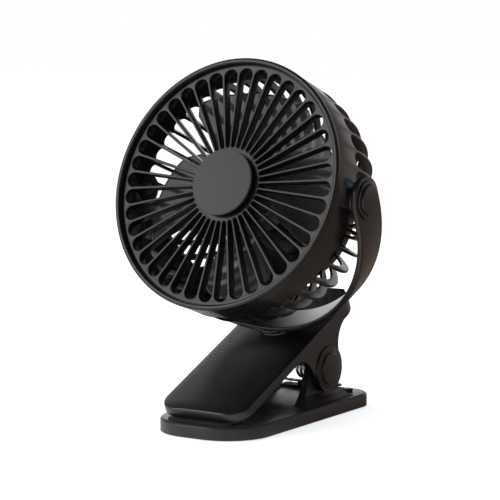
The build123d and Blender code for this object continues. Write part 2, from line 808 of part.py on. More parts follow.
for side, name in ((1, "yoke_cap_right"), (-1, "yoke_cap_left")):
    with BuildPart() as yoke_cap:
        with BuildSketch(pivot_plane(side * yoke_radius)):
            Circle(yoke_cap_radius)
        extrude(amount=side * yoke_cap_step)
        with BuildSketch(pivot_plane(side * (yoke_radius + yoke_cap_step))):
            Circle(yoke_cap_face_radius)
        extrude(amount=side * yoke_cap_face)
        chamfer(yoke_cap.faces().sort_by(Axis.X)[-1 if side > 0 else 0].edges(), length=0.4)
        with BuildSketch(pivot_plane(side * yoke_radius)):
            Circle(tilt_head_radius + cover_gap)
        extrude(amount=side * (tilt_head_x - yoke_radius + tilt_head_height + cover_gap), mode=Mode.SUBTRACT)
    save(yoke_cap.part, name)

# ------------------------------------------------------------ head: front grille
rim_inner = rim_radius - rim_lip
skirt_outer = band_radius - band_wall - skirt_gap
skirt_inner = skirt_outer - skirt_wall
grille_back = grille_face - grille_depth
slot_pitch = 360 / slot_count


def slot_half_width(reach, rib):
    """Half the width of a slot at a distance from the axis, beside ribs of a given width."""
    return (2 * math.pi * reach / slot_count - rib) / 2


front_slot_outer_half = slot_half_width(front_slot_outer - 4.3, front_rib_outer)
front_slot_inner_half = slot_half_width(front_slot_inner + 1, front_rib_inner)

with BuildPart(head) as front_grille:
    with BuildSketch(head_cut):
        with BuildLine():
            Polyline(
                (plug_radius, grille_face), (rim_inner - 0.6, grille_face),
                (rim_inner, rim_front - 0.8), (rim_inner + 0.8, rim_front),
                (rim_radius - 1.2, rim_front), (rim_radius, rim_front - 1.2),
                (rim_radius, grille_face), (skirt_outer, grille_face),
                (skirt_outer, grille_face - skirt_depth), (skirt_inner, grille_face - skirt_depth),
                (skirt_inner, grille_back), (grille_hub_inner, grille_back),
                (grille_hub_inner, grille_face - grille_plate),
                (plug_radius, grille_face - grille_plate), close=True,
            )
        make_face()
    revolve(axis=head_axis)
    with BuildSketch(head.offset(grille_face)):
        with PolarLocations(0, slot_count):
            with BuildSketch(mode=Mode.PRIVATE) as front_slot:
                with Locations((front_slot_inner + front_slot_inner_half, 0)):
                    Circle(front_slot_inner_half)
                with Locations((front_slot_outer - front_slot_outer_half, 0)):
                    Circle(front_slot_outer_half)
                make_hull()
            add(front_slot.sketch)
    extrude(amount=-grille_depth, mode=Mode.SUBTRACT)
save(front_grille.part, "front_grille")

with BuildPart() as grille_cap:
    with BuildSketch(head_cut):
        with BuildLine():
            Polyline(
                (0, grille_face + cap_height), (cap_face_radius - 0.9, grille_face + cap_height),
                (cap_face_radius, grille_face + cap_height - 0.9), (cap_base_radius, grille_face),
                (plug_radius, grille_face), (plug_radius, grille_face - grille_plate),
                (plug_radius - cap_wall, grille_face - grille_plate),
                (plug_radius - cap_wall, grille_face + cap_height - cap_wall),
                (0, grille_face + cap_height - cap_wall), close=True,
            )
        make_face()
    revolve(axis=head_axis)
save(grille_cap.part, "grille_cap")

# ------------------------------------------------------------ head: rear housing
disc_back = -dome_start - dome_depth * math.sqrt(1 - (rear_disc_radius / band_radius) ** 2)
hub_back = disc_back - rear_hub_rise
hub_pocket = rear_hub_radius - rear_hub_wall
hub_ledge = hub_pocket - rear_cap_ledge
partition_back = hub_back + rear_hub_depth
partition_front = partition_back + partition
rib_inner = band_radius - rear_rib_depth
rib_inner_depth = dome_depth - rear_rib_depth
disc_front = disc_back + rear_disc_wall
disc_angle = math.degrees(math.acos(rear_disc_radius / band_radius))
disc_inner_angle = math.degrees(math.asin(-(disc_front + dome_start) / rib_inner_depth))
disc_inner_radius = rib_inner * math.cos(math.radians(disc_inner_angle))
column_radius = motor_radius + motor_seat_wall
slot_crest = band_back - slot_half_width(band_radius, rear_rib_outer)

# one rear slot: it widens outward, and its front end is round in the side wall
slot_inside = rear_disc_radius + 0.6
slot_outside = band_radius + 2
with BuildPart() as rear_slot:
    for reach, rib in ((slot_inside, rear_rib_inner), (slot_outside, rear_rib_outer)):
        half_slot = slot_half_width(reach, rib)
        with BuildSketch(Plane(origin=(reach, 0, 0), x_dir=(0, 1, 0), z_dir=(1, 0, 0))):
            with BuildLine():
                Line((-half_slot, hub_back - 1), (-half_slot, slot_crest))
                ThreePointArc((-half_slot, slot_crest), (0, slot_crest + half_slot), (half_slot, slot_crest))
                Line((half_slot, slot_crest), (half_slot, hub_back - 1))
                Line((half_slot, hub_back - 1), (-half_slot, hub_back - 1))
            make_face()
    loft(ruled=True)

with BuildPart(head) as rear_housing:
    with BuildSketch(head_cut):
        with BuildLine():
            EllipticalCenterArc(
                (0, -dome_start), band_radius, dome_depth, start_angle=-disc_angle, arc_size=disc_angle,
            )
            Polyline(
                (rear_disc_radius, disc_back), (rear_disc_radius - rear_hub_rise, hub_back),
                (hub_pocket, hub_back), (hub_pocket, hub_back + rear_cap_height),
                (hub_ledge, hub_back + rear_cap_height), (hub_ledge, partition_back),
                (0, partition_back), (0, partition_front),
                (motor_radius - motor_ledge, partition_front), (motor_radius - motor_ledge, motor_back),
                (motor_radius, motor_back), (motor_radius, motor_back + motor_seat_height),
                (column_radius, motor_back + motor_seat_height), (column_radius, partition_front),
                (rear_hub_radius, partition_front), (rear_hub_radius, disc_front),
                (disc_inner_radius, disc_front),
            )
            EllipticalCenterArc(
                (0, -dome_start), rib_inner, rib_inner_depth,
                start_angle=-disc_inner_angle, arc_size=disc_inner_angle,
            )
            Polyline(
                (rib_inner, -dome_start), (rib_inner, band_back + 2),
                (band_radius - band_wall, band_back + 2 + rear_rib_depth - band_wall),
                (band_radius - band_wall, grille_face - rim_seam),
                (band_radius, grille_face - rim_seam), (band_radius, -dome_start),
            )
        make_face()
    revolve(axis=head_axis)
    with PolarLocations(0, slot_count):
        add(rear_slot.part, mode=Mode.SUBTRACT)
    with BuildSketch(head.offset(partition_back)):
        Circle(standoff_radius)
        Circle(standoff_radius - standoff_wall, mode=Mode.SUBTRACT)
    extrude(amount=-standoff_height)
    for side in (1, -1):
        with BuildSketch(pivot_plane(side * shaft_end_x)):
            Circle(side_boss_radius)
        extrude(amount=side * (boss_end_x - shaft_end_x))
    for side in (1, -1):
        with BuildSketch(pivot_plane(side * shaft_end_x)):
            Circle(tilt_shaft_radius)
        extrude(amount=side * (boss_end_x - shaft_end_x), mode=Mode.SUBTRACT)
save(rear_housing.part, "rear_housing")

# --------------------------------------------------- head: controls and rear cap
board_front = partition_back - standoff_height
board_back = board_front - board_height
cap_inside = hub_back + rear_cap_height
flange_back = cap_inside + button_gap
flange_front = flange_back + button_flange_height
switch_back = flange_front + button_travel + button_gap
with BuildPart() as rear_cap:
    with BuildSketch(head.offset(hub_back)):
        Circle(hub_pocket - cover_gap)
        Circle(button_radius + button_gap, mode=Mode.SUBTRACT)
    extrude(amount=rear_cap_height)
    chamfer(rear_cap.faces().sort_by(head_axis)[0].edges().sort_by(SortBy.LENGTH)[-1:], length=0.5)
save(rear_cap.part, "rear_cap")

with BuildPart() as power_button:
    with BuildSketch(head.offset(hub_back - button_rise)):
        Circle(button_radius)
    extrude(amount=flange_back - hub_back + button_rise)
    chamfer(power_button.faces().sort_by(head_axis)[0].edges(), length=0.4)
    with BuildSketch(head.offset(flange_back)):
        Circle(button_radius + button_flange)
    extrude(amount=button_flange_height)
save(power_button.part, "power_button")

with BuildPart() as control_board:
    with BuildSketch(head.offset(board_front)):
        Circle(board_radius)
    extrude(amount=-board_height)
save(control_board.part, "control_board")

with BuildPart() as push_switch:
    with BuildSketch(head.offset(board_back)):
        Rectangle(switch_size, switch_size)
    extrude(amount=switch_back - board_back)
save(push_switch.part, "push_switch")

# --------------------------------------------------------------- head: the motor
with BuildPart() as motor_can:
    with BuildSketch(head.offset(motor_back)):
        Circle(motor_radius)
    extrude(amount=motor_front - motor_back)
    chamfer(motor_can.faces().sort_by(head_axis)[-1].edges(), length=0.8)
    with BuildSketch(head.offset(motor_front)):
        Circle(motor_neck_radius)
    extrude(amount=motor_neck)
    with BuildSketch(head.offset(motor_front + motor_neck)):
        Circle(shaft_radius + running_gap)
    extrude(amount=shaft_back - motor_front - motor_neck - cover_gap, mode=Mode.SUBTRACT)
save(motor_can.part, "motor_can")

# --------------------------------------------------------------------- the rotor
with BuildPart() as motor_shaft:
    with BuildSketch(head.offset(shaft_back)):
        Circle(shaft_radius)
    extrude(amount=shaft_front - shaft_back)
save(motor_shaft.part, "motor_shaft")

# one blade, lying along X: its outline seen from the front cut from a twisted sheet
blade_root = rotor_radius - rotor_wall + 0.3


def around(radius, angle):
    """Point at a radius and an angle in degrees."""
    return (radius * math.cos(math.radians(angle)), radius * math.sin(math.radians(angle)))


with BuildPart() as blade:
    with BuildSketch(Plane(origin=(blade_root - 4, 0, blade_middle), x_dir=(0, 1, 0), z_dir=(1, 0, 0))):
        Rectangle(2 * blade_radius, blade_thickness, rotation=blade_root_pitch)
    with BuildSketch(Plane(origin=(blade_radius + 4, 0, blade_middle), x_dir=(0, 1, 0), z_dir=(1, 0, 0))):
        Rectangle(2 * blade_radius, blade_thickness, rotation=blade_tip_pitch)
    loft(ruled=True)
    with BuildSketch(Plane.XY.offset(-blade_radius)) as blade_plan:
        with BuildLine():
            front_root = around(blade_root, blade_front_angle)
            front_tip = around(blade_radius, blade_front_angle)
            rear_tip = around(blade_radius, -blade_rear_angle)
            rear_root = around(blade_root, -1.2 * blade_rear_angle)
            Line(front_root, front_tip)
            ThreePointArc(front_tip, around(blade_radius, 0), rear_tip)
            ThreePointArc(rear_tip, around(0.68 * blade_radius, -1.4 * blade_rear_angle), rear_root)
            ThreePointArc(rear_root, around(blade_root, 0), front_root)
        make_face()
        fillet(blade_plan.vertices().sort_by_distance((0, 0))[-2:], radius=blade_corner)
    extrude(amount=2 * blade_radius, mode=Mode.INTERSECT)

with BuildPart(head) as fan_blades:
    with BuildSketch(head_cut):
        with BuildLine():
            Polyline(
                (shaft_radius, rotor_front), (rotor_radius - 1.2, rotor_front),
                (rotor_radius, rotor_front - 1.2), (rotor_radius, rotor_back),
                (rotor_radius - rotor_wall, rotor_back),
                (rotor_radius - rotor_wall, rotor_front - rotor_wall),
                (rotor_boss_radius, rotor_front - rotor_wall),
                (rotor_boss_radius, rotor_front - rotor_wall - rotor_boss),
                (shaft_radius, rotor_front - rotor_wall - rotor_boss), close=True,
            )
        make_face()
    revolve(axis=head_axis)
    with PolarLocations(0, blade_count, start_angle=blade_start):
        add(blade.part)
save(fan_blades.part, "fan_blades")

with BuildPart() as shaft_nut:
    with BuildSketch(head.offset(rotor_front)):
        RegularPolygon(nut_radius, 6)
        Circle(shaft_radius, mode=Mode.SUBTRACT)
    extrude(amount=nut_height)
save(shaft_nut.part, "shaft_nut")
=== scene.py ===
"""Clip fan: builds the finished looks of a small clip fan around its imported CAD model.

Laid out as an add-on: sizes and finishes are properties, each operator builds one
piece or one group of like pieces, and the panel in the 3D view's sidebar lists them.
Lengths are in metres, in the CAD model's own frame.
"""
import json
import math

import bmesh
import bpy
from bpy.props import FloatProperty, FloatVectorProperty, IntProperty, PointerProperty
from mathutils import Matrix, Vector


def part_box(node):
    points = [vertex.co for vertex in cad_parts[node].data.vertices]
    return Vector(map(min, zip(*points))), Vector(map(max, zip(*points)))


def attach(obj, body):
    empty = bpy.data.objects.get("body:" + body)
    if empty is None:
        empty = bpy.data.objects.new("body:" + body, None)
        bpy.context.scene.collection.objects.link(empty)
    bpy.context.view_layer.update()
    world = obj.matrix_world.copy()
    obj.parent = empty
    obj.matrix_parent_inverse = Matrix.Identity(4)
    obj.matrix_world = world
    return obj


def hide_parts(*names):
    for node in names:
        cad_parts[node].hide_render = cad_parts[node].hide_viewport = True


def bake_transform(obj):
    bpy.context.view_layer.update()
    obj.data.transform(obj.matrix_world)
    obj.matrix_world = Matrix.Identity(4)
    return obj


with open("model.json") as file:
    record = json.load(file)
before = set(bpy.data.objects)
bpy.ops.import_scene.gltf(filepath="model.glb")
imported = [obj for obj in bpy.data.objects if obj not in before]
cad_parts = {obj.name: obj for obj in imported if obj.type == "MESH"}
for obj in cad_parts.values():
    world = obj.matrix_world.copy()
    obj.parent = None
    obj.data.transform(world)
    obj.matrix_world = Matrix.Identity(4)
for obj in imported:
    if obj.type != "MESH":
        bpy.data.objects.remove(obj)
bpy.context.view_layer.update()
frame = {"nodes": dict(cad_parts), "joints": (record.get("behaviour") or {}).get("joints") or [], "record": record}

bl_info = {
    "name": "Clip Fan",
    "version": (1, 0, 0),
    "blender": (4, 5, 0),
    "location": "View3D > Sidebar > Clip Fan",
    "description": "Builds the visible pieces of a clip fan on its CAD frame",
    "category": "Object",
}

MM = 0.001

# Heights (along the head's axis, from the tilt pivot) and radii of the front grille, in mm.
FACE_FRONT = 21.8
FACE_THICKNESS = 6
FACE_BACK = 15.8
FACE_RADIUS = 70.6
RING_RADIUS = 20
CAP_SOCKET = 15
RING_BACK = 19.4
RIM_FRONT = 25.15
RIM_RADIUS = 74.93
SKIRT_RADIUS = 72.4
SKIRT_BACK = 14.3
# An edge this near the face's inner or outer border is left sharp, in mm.
EDGE_MARGIN = 0.3

# The camera, fitted to the base's outline and the front rim: degrees and mm.
CAMERA_TURN = 32.85
CAMERA_RISE = 6.23
CAMERA_TARGET = (0, 0, 100)
CAMERA_RIGHT = -8.147
CAMERA_UP = 0.712
CAMERA_DISTANCE = 1185.5

# The lamps: name, place, diameter, the stage setting that holds the strength, colour.
LAMPS = (
    ("key", (-0.80, -1.05, 0.75), 1.0, "key", (1.0, 0.99, 0.97)),
    ("side", (1.0, 0.75, 1.35), 0.7, "fill", (0.42, 0.62, 1.0)),
    ("rear", (-0.75, 1.15, 0.25), 0.6, "rear", (0.95, 0.97, 1.0)),
    ("arm", (-0.82, 0.68, 0.55), 0.6, "arm", (1.0, 1.0, 1.0)),
)
LAMP_AIM = (0, 0, 0.1)

# The floor is pale grey. Polished surfaces, and they alone, see it brown behind on the
# right, and see the horizon tinted towards +X: painted warm reflections, from which the
# warm casts in the render come.
FLOOR_TONES = (0.78, 0.82)
FLOOR_LIFT = 0.6
BEHIND_RIGHT = (0.54, 0.84, 0)
BEHIND_RANGE = (-0.06, 0.04)
FLOOR_IN_GLOSS = (0.40, 0.30, 0.245, 1)
HORIZON_IN_GLOSS = (0.64, 0.54, 0.49, 1)
HORIZON_RANGE = (-0.4, 0.5)

# The grip's rows on the tail: distance behind the swivel, and each pip's distance from the
# middle, in mm. Every pip off the middle has a twin on the other side.
PIP_ROWS = (
    (31, (3.5, 10.5, 17.5)),
    (36, (0, 7, 14, 21)),
    (41, (3.5, 10.5, 17.5)),
    (45.6, (0, 7, 14)),
)


# ----------------------------------------------------------------------- settings
class ClipFanSizes(bpy.types.PropertyGroup):
    """Sizes of the rounded edges and of the moulded details."""

    shell_edge: FloatProperty(
        name="Shell edge", description="Radius of the arm's long outer edges",
        default=1.3 * MM, unit="LENGTH", subtype="DISTANCE")
    arm_crown: FloatProperty(
        name="Arm crown", description="How far the arm's long edges lie below its middle",
        default=1.3 * MM, unit="LENGTH", subtype="DISTANCE")
    slot_edge: FloatProperty(
        name="Slot edge", description="Radius of the grille's slot edges",
        default=0.28 * MM, unit="LENGTH", subtype="DISTANCE")
    rib_edge: FloatProperty(
        name="Rib edge", description="Radius of the rear ribs' edges",
        default=0.55 * MM, unit="LENGTH", subtype="DISTANCE")
    lip_edge: FloatProperty(
        name="Rim lip", description="Radius of the front rim's edges",
        default=1.2 * MM, unit="LENGTH", subtype="DISTANCE")
    blade_thickness: FloatProperty(
        name="Blade thickness", description="Thickness of the clear blades",
        default=1.4 * MM, unit="LENGTH", subtype="DISTANCE")
    seam_depth: FloatProperty(
        name="Grille seam",
        description="Depth of the fine groove between the slots and the rim",
        default=0.5 * MM, unit="LENGTH", subtype="DISTANCE")


class ClipFanFinish(bpy.types.PropertyGroup):
    """Colours and gloss of the materials."""

    shell_colour: FloatVectorProperty(
        name="Shell", description="Colour of the black moulded plastic",
        subtype="COLOR", size=4, default=(0.0052, 0.0050, 0.0050, 1.0), min=0, max=1)
    cap_colour: FloatVectorProperty(
        name="Grille cap", description="Colour of the plain cap in the grille's middle",
        subtype="COLOR", size=4, default=(0.050, 0.050, 0.050, 1.0), min=0, max=1)
    blade_colour: FloatVectorProperty(
        name="Blades", description="Colour of the clear smoky blades",
        subtype="COLOR", size=4, default=(0.130, 0.130, 0.131, 1.0), min=0, max=1)
    rubber_colour: FloatVectorProperty(
        name="Rubber", description="Colour of the pads and feet",
        subtype="COLOR", size=4, default=(0.018, 0.017, 0.017, 1.0), min=0, max=1)
    gloss: FloatProperty(
        name="Shell roughness", description="Roughness of the black plastic",
        subtype="FACTOR", default=0.31, min=0, max=1)


class ClipFanStage(bpy.types.PropertyGroup):
    """Lights, floor and camera."""

    key: FloatProperty(
        name="Key light", description="Strength of the soft light on the upper left",
        default=11.0, min=0)
    fill: FloatProperty(
        name="Fill light", description="Strength of the soft blue light on the right",
        default=3.2, min=0)
    rear: FloatProperty(
        name="Rear light", description="Strength of the soft light behind on the left",
        default=1.0, min=0)
    arm: FloatProperty(
        name="Arm light",
        description="Strength of the soft light that the arm's left edge shows",
        default=1.0, min=0)
    sky: FloatProperty(
        name="Sky", description="Strength of the even light from all round",
        default=0.6, min=0)
    ceiling: FloatProperty(
        name="Ceiling", description="Brightness of the ceiling that gloss shows",
        default=0.05, min=0)
    horizon_low: FloatProperty(
        name="Horizon", description="Height up to which gloss shows the bright horizon",
        default=0.12)
    horizon_high: FloatProperty(
        name="Ceiling start", description="Height from which gloss shows the ceiling",
        default=0.5)
    lens: FloatProperty(
        name="Lens", description="Focal length of the camera in millimetres",
        default=144.0, min=20)


# ------------------------------------------------------------------ places in space
def joint(name):
    """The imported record's joint of that name."""
    for entry in frame["joints"]:
        if entry["name"] == name:
            return entry
    raise RuntimeError(f"the frame has no joint named {name}")


def head_frame():
    """The fan head's own frame: X to the right, Z to the front along its axis."""
    front = Vector(joint("power_press")["axis"]).normalized()
    across = Vector((1, 0, 0))
    turn = Matrix((across, front.cross(across), front)).transposed().to_4x4()
    return Matrix.Translation(Vector(joint("head_tilt")["pos_m"])) @ turn


def arm_axes():
    """The swivel's place on the arm, with the arm's own up and back."""
    swivel = joint("yoke_swivel")
    up = Vector(swivel["axis"]).normalized()
    return Vector(swivel["pos_m"]), up, up.cross(Vector((1, 0, 0)))


# ----------------------------------------------------------------------- mesh tools
def finish_mesh(bm, name, body, replaced, material, smooth=40.0, bend=None):
    """Turn a bmesh into a visible piece that rides on a body, or, given a bend, stands fixed in the world."""
    mesh = bpy.data.meshes.new(name)
    bm.normal_update()
    bm.to_mesh(mesh)
    bm.free()
    piece = bpy.data.objects.new(name, mesh)
    bpy.context.scene.collection.objects.link(piece)
    mesh.materials.append(material)
    mesh.shade_smooth()
    mesh.set_sharp_from_angle(angle=math.radians(smooth))
    if bend:
        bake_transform(piece)
    else:
        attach(piece, body)
    if replaced:
        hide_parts(*replaced)
    return piece


def merged_copy(node):
    """A copy of a CAD node's mesh with its loose triangles joined and flat areas whole."""
    bm = bmesh.new()
    bm.from_mesh(frame["nodes"][node].data)
    bmesh.ops.remove_doubles(bm, verts=bm.verts, dist=1e-6)
    bmesh.ops.dissolve_limit(bm, angle_limit=math.radians(0.4), verts=bm.verts, edges=bm.edges)
    bm.normal_update()
    return bm


def corners(bm, least, test=None):
    """Outward edges whose faces meet at a corner of at least so many degrees."""
    found = []
    for edge in bm.edges:
        if len(edge.link_faces) != 2:
            continue
        if math.degrees(edge.calc_face_angle_signed(0.0)) < least:
            continue
        if test is None or test(edge):
            found.append(edge)
    return found


def round_edges(bm, edges, width, segments):
    """Bevel edges to a rounded form."""
    bmesh.ops.bevel(bm, geom=edges, offset=width, offset_type="OFFSET", segments=segments,
                    profile=0.5, affect="EDGES", clamp_overlap=False, material=-1)


def section(bm, points, rounding):
    """A line through (radius, height) points in mm in the XZ plane, some corners rounded."""
    verts = [bm.verts.new((r * MM, 0, z * MM)) for r, z in points]
    for a, b in zip(verts, verts[1:]):
        bm.edges.new((a, b))
    for index, width in rounding.items():
        bmesh.ops.bevel(bm, geom=[verts[index]], offset=width * MM, offset_type="OFFSET",
                        segments=4, profile=0.5, affect="VERTICES", clamp_overlap=False,
                        material=-1)
    return bm.edges[:]


def verts_in(geom):
    """The vertices among the geometry that an operator gives back."""
    return [item for item in geom if isinstance(item, bmesh.types.BMVert)]


def copy_round(bm, copied, count):
    """Copy edges or faces round Z until there are count of them."""
    kind = type(copied[0])
    step = Matrix.Rotation(2 * math.pi / count, 4, "Z")
    for _ in range(count - 1):
        ends = list({v for item in copied for v in item.verts})
        made = bmesh.ops.duplicate(bm, geom=copied + ends)["geom"]
        copied = [item for item in made if isinstance(item, kind)]
        bmesh.ops.transform(bm, matrix=step, verts=verts_in(made))


def place_on_head(bm):
    """Move a piece made about Z to its place on the head."""
    bmesh.ops.recalc_face_normals(bm, faces=bm.faces)
    bmesh.ops.transform(bm, matrix=head_frame(), verts=bm.verts)


def from_axis(vert):
    """A vertex's distance from Z."""
    return math.hypot(vert.co.x, vert.co.y)


def join(bm, other):
    """Move another bmesh's faces into this one."""
    part = bpy.data.meshes.new("part")
    other.to_mesh(part)
    other.free()
    bm.from_mesh(part)
    bpy.data.meshes.remove(part)


def revolve(bm, edges, steps):
    """Spin a section a full turn about Z."""
    geom = list(edges) + list({v for e in edges for v in e.verts})
    bmesh.ops.spin(bm, geom=geom, axis=(0, 0, 1), cent=(0, 0, 0), dvec=(0, 0, 0),
                   angle=2 * math.pi, steps=steps, use_merge=True, use_duplicate=False)


def turned(points, rounding, steps):
    """A new bmesh of a section, given in mm, turned a full turn about Z."""
    bm = bmesh.new()
    revolve(bm, section(bm, points, rounding), steps)
    return bm


# -------------------------------------------------------------------------- materials
def node(tree, kind, inputs=None, **settings):
    """A shader node with its settings, then its input values, set."""
    made = tree.nodes.new("ShaderNode" + kind)
    for name, value in settings.items():
        setattr(made, name, value)
    for name, value in (inputs or {}).items():
        made.inputs[name].default_value = value
    return made


def math_node(tree, operation, first, second):
    """A math node fed by two sockets; gives its output socket."""
    made = node(tree, "Math", operation=operation)
    tree.links.new(first, made.inputs[0])
    tree.links.new(second, made.inputs[1])
    return made.outputs[0]


def node_group(name, inputs, outputs):
    """An empty node group with the named sockets."""
    group = bpy.data.node_groups.new(name, "ShaderNodeTree")
    for label, kind, default in inputs:
        socket = group.interface.new_socket(name=label, in_out="INPUT", socket_type=kind)
        socket.default_value = default
    for label, kind in outputs:
        group.interface.new_socket(name=label, in_out="OUTPUT", socket_type=kind)
    return group


def moulded_group():
    """Fine moulded grain with broad tone changes and light scuffs, in object space."""
    if "Moulded Surface" in bpy.data.node_groups:
        return bpy.data.node_groups["Moulded Surface"]
    group = node_group(
        "Moulded Surface",
        [("Colour", "NodeSocketColor", (0.012, 0.012, 0.012, 1)),
         ("Scuff Colour", "NodeSocketColor", (0.03, 0.03, 0.03, 1)),
         ("Roughness", "NodeSocketFloat", 0.45),
         ("Grain Scale", "NodeSocketFloat", 2600.0),
         ("Scuffs", "NodeSocketFloat", 0.35)],
        [("Colour", "NodeSocketColor"), ("Roughness", "NodeSocketFloat"),
         ("Height", "NodeSocketFloat")])
    link = group.links.new
    inside = group.nodes.new("NodeGroupInput").outputs
    outside = group.nodes.new("NodeGroupOutput").inputs
    place = node(group, "TexCoord").outputs["Object"]
    grain = node(group, "TexNoise", {"Detail": 2.0, "Roughness": 0.6})
    broad = node(group, "TexNoise", {"Scale": 55.0, "Detail": 5.0})
    fine = node(group, "TexNoise", {"Scale": 420.0, "Detail": 3.0, "Distortion": 1.5})
    for noise in (grain, broad, fine):
        link(place, noise.inputs["Vector"])
    link(inside["Grain Scale"], grain.inputs["Scale"])
    link(grain.outputs["Fac"], outside["Height"])
    scuff = math_node(group, "MULTIPLY", broad.outputs["Fac"], fine.outputs["Fac"])
    spread = node(group, "MapRange", {"From Min": 0.2, "From Max": 0.42})
    link(scuff, spread.inputs["Value"])
    share = math_node(group, "MULTIPLY", spread.outputs["Result"], inside["Scuffs"])
    tone = node(group, "Mix", data_type="RGBA")
    link(share, tone.inputs["Factor"])
    link(inside["Colour"], tone.inputs["A"])
    link(inside["Scuff Colour"], tone.inputs["B"])
    link(tone.outputs["Result"], outside["Colour"])
    rough = node(group, "Math", {1: 0.10}, operation="MULTIPLY_ADD")
    link(share, rough.inputs[0])
    link(inside["Roughness"], rough.inputs[2])
    link(rough.outputs[0], outside["Roughness"])
    return group


def new_material(name):
    """A material with its shader, output and node tree."""
    material = bpy.data.materials.new(name)
    material.use_nodes = True
    shader = material.node_tree.nodes["Principled BSDF"]
    return material, material.node_tree, shader


def moulded(tree, shader, colour, roughness, grain, scuffs, scuff_lift):
    """Put the moulded surface's colour and roughness on a shader; gives its node."""
    surface = node(tree, "Group", node_tree=moulded_group())
    for name, value in (
        ("Colour", colour),
        ("Scuff Colour", tuple(min(1.0, c * scuff_lift) for c in colour[:3]) + (1.0,)),
        ("Roughness", roughness), ("Grain Scale", grain), ("Scuffs", scuffs),
    ):
        surface.inputs[name].default_value = value
    tree.links.new(surface.outputs["Colour"], shader.inputs["Base Color"])
    tree.links.new(surface.outputs["Roughness"], shader.inputs["Roughness"])
    return surface


def plastic(name, colour, roughness, specular, grain, depth, scuffs, metallic=0.0,
            scuff_lift=1.7):
    """Moulded plastic, rubber or metal with a fine grain."""
    material, tree, shader = new_material(name)
    surface = moulded(tree, shader, colour, roughness, grain, scuffs, scuff_lift)
    bump = node(tree, "Bump", {"Strength": depth, "Distance": 0.05 * MM})
    tree.links.new(surface.outputs["Height"], bump.inputs["Height"])
    tree.links.new(bump.outputs["Normal"], shader.inputs["Normal"])
    shader.inputs["Specular IOR Level"].default_value = specular
    shader.inputs["Metallic"].default_value = metallic
    return material


def smoke(colour):
    """Clear smoky plastic."""
    material, tree, shader = new_material("smoke_blade")
    moulded(tree, shader, colour, 0.08, 900.0, 0.3, 0.9)
    shader.inputs["Transmission Weight"].default_value = 0.6
    shader.inputs["IOR"].default_value = 1.45
    return material


def all_materials():
    """Every material, by the record's slot name or by the node that has its own."""
    finish = bpy.context.scene.clip_fan_finish
    shell = tuple(finish.shell_colour)
    cap = tuple(finish.cap_colour)
    rubber = tuple(finish.rubber_colour)
    gloss = finish.gloss
    # name, colour, roughness, specular, grain scale, grain depth, scuffs, metallic, lift
    table = (
        ("black_shell", shell, gloss, 0.5, 2400, 0.30, 0.35),
        ("black_trim", shell, gloss - 0.03, 0.48, 3000, 0.16, 0.25),
        ("black_grille", shell, gloss, 0.32, 2600, 0.2, 0.3),
        ("base_shell", (0.016, 0.0145, 0.014, 1), 0.40, 0.38, 2400, 0.35, 0.4),
        ("grey_cap", cap, 0.55, 0.3, 3200, 0.2, 0.3, 0.0, 1.2),
        ("foot_rubber", rubber, 0.75, 0.2, 1500, 0.5, 0.5),
        ("pad_rubber", rubber, 0.7, 0.2, 1500, 0.5, 0.5),
        ("cell_wrap", (0.03, 0.09, 0.22, 1), 0.35, 0.5, 900, 0.1, 0.2),
        ("circuit_board", (0.015, 0.09, 0.035, 1), 0.45, 0.5, 600, 0.4, 0.4),
        ("plated_shell", (0.62, 0.62, 0.60, 1), 0.28, 0.5, 1400, 0.1, 0.3, 1.0, 0.8),
        ("spring_steel", (0.50, 0.50, 0.50, 1), 0.24, 0.5, 1600, 0.2, 0.5, 1.0, 0.6),
        ("pin_steel", (0.58, 0.58, 0.57, 1), 0.26, 0.5, 1600, 0.15, 0.3, 1.0, 0.7),
        ("screw_steel", (0.10, 0.10, 0.10, 1), 0.34, 0.5, 1600, 0.15, 0.3, 1.0, 1.4),
        ("washer_steel", (0.55, 0.55, 0.54, 1), 0.3, 0.5, 1600, 0.15, 0.3, 1.0, 0.7),
        ("washer_nylon", (0.55, 0.54, 0.50, 1), 0.5, 0.4, 1400, 0.15, 0.2, 0.0, 0.9),
        ("motor_steel", (0.46, 0.46, 0.46, 1), 0.33, 0.5, 1400, 0.2, 0.3, 1.0, 0.7),
        ("switch_body", (0.02, 0.02, 0.022, 1), 0.4, 0.4, 2000, 0.2, 0.3),
    )
    made = {name: plastic(name, *values) for name, *values in table}
    made["spring_seat"] = plastic(
        "matt_seat", (0.006, 0.006, 0.006, 1), 0.7, 0.15, 1800, 0.4, 0.3)
    made["smoke_blade"] = smoke(tuple(finish.blade_colour))
    return made


